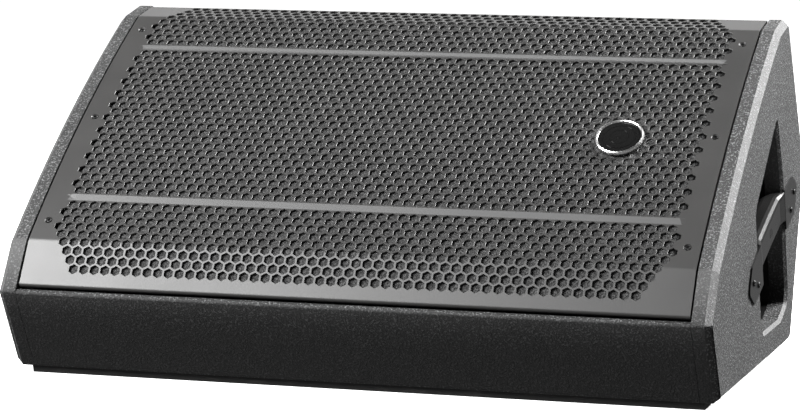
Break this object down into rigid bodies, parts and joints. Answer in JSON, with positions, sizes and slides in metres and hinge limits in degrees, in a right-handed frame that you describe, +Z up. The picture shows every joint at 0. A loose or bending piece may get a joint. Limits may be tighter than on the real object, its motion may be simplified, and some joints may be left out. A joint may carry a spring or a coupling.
{
  "type": "stage monitor wedge",
  "caption": "Low floor loudspeaker wedge with a long curved perforated grille facing up and forward, shaped side panels with recessed bar handles and a rear amplifier plate.",
  "frame": {"origin": "on the floor under the middle of the cabinet's bounding box", "axes": "+X across the width towards the right side panel, -Y towards the grille and listener, +Z up"},
  "size_m": [0.6848, 0.4255, 0.3268],
  "materials": {
    "cabinet_paint": "black textured paint over birch plywood",
    "plywood": "bare birch plywood",
    "wadding": "grey polyester wadding",
    "rubber": "black solid rubber",
    "moulding": "black moulded plastic, fine grain",
    "screws": "blackened steel",
    "coated_steel": "dark grey satin powder coat",
    "foam": "black open-cell foam",
    "badge_chrome": "bright chrome",
    "badge_gloss": "gloss black",
    "driver_metal": "black coated cast aluminium",
    "magnet": "plated steel and ferrite",
    "surround_rubber": "matt rubber half-roll",
    "spider_cloth": "resin-treated woven cloth",
    "cone_paper": "pressed paper pulp, dyed black",
    "coil_former": "film former with enamelled winding",
    "lamp_lens": "clear green lens"
  },
  "bodies": {
    "cabinet": {"side_panel_left": "cabinet_paint", "side_panel_right": "cabinet_paint", "front_lower_panel": "cabinet_paint", "rear_lower_panel": "cabinet_paint", "rear_upper_panel": "cabinet_paint", "top_panel": "cabinet_paint", "bottom_panel": "cabinet_paint", "baffle": "plywood", "window_brace": "plywood", "grille_rail_left": "plywood", "grille_rail_right": "plywood", "damping_blanket": "wadding", "skid_front": "rubber", "skid_rear": "rubber", "handle_left": "moulding", "handle_right": "moulding", "handle_cup_left": "moulding", "handle_cup_right": "moulding", "handle_screw_left_1": "screws", "handle_screw_left_2": "screws", "handle_screw_left_3": "screws", "handle_screw_left_4": "screws", "handle_screw_right_1": "screws", "handle_screw_right_2": "screws", "handle_screw_right_3": "screws", "handle_screw_right_4": "screws", "grille": "coated_steel", "grille_foam": "foam", "grille_screw_1": "screws", "grille_screw_2": "screws", "grille_screw_3": "screws", "grille_screw_4": "screws", "grille_screw_5": "screws", "grille_screw_6": "screws", "woofer_basket": "driver_metal", "woofer_magnet": "magnet", "woofer_surround": "surround_rubber", "woofer_spider": "spider_cloth", "horn": "moulding", "compression_driver": "driver_metal", "port_tube_1": "moulding", "port_tube_2": "moulding", "amp_plate": "coated_steel", "amp_tray": "coated_steel", "input_socket": "moulding", "link_socket": "moulding", "mains_inlet": "moulding", "switch_bezel": "moulding", "status_lamp": "lamp_lens"},
    "badge": {"badge_ring": "badge_chrome", "badge_disc": "badge_gloss"},
    "woofer_moving_parts": {"woofer_cone": "cone_paper", "woofer_dust_cap": "cone_paper", "woofer_voice_coil": "coil_former"},
    "gain_control": {"gain_knob": "moulding"},
    "power_rocker": {"power_switch": "moulding"}
  },
  "joints": [
    {"name": "badge_turn", "type": "hinge", "parent": "cabinet", "child": "badge", "pos_m": [0.218, -0.06293, 0.2272], "axis": [0, -0.588, 0.8089], "range_deg": [-90, 90]},
    {"name": "woofer_travel", "type": "slide", "parent": "cabinet", "child": "woofer_moving_parts", "axis": [0, -0.5841, 0.8117], "range_m": [-0.006, 0.006], "stiffness_N_per_m": 3000, "deforming": ["woofer_surround", "woofer_spider"]},
    {"name": "gain_knob_turn", "type": "hinge", "parent": "cabinet", "child": "gain_control", "pos_m": [0.02, 0.1825, 0.091], "axis": [0, 0.94, -0.3413], "range_deg": [-150, 150]},
    {"name": "power_switch_rock", "type": "hinge", "parent": "cabinet", "child": "power_rocker", "pos_m": [-0.066, 0.17911, 0.08372], "axis": [-1, 0, 0], "range_deg": [0, 18]}
  ]
}
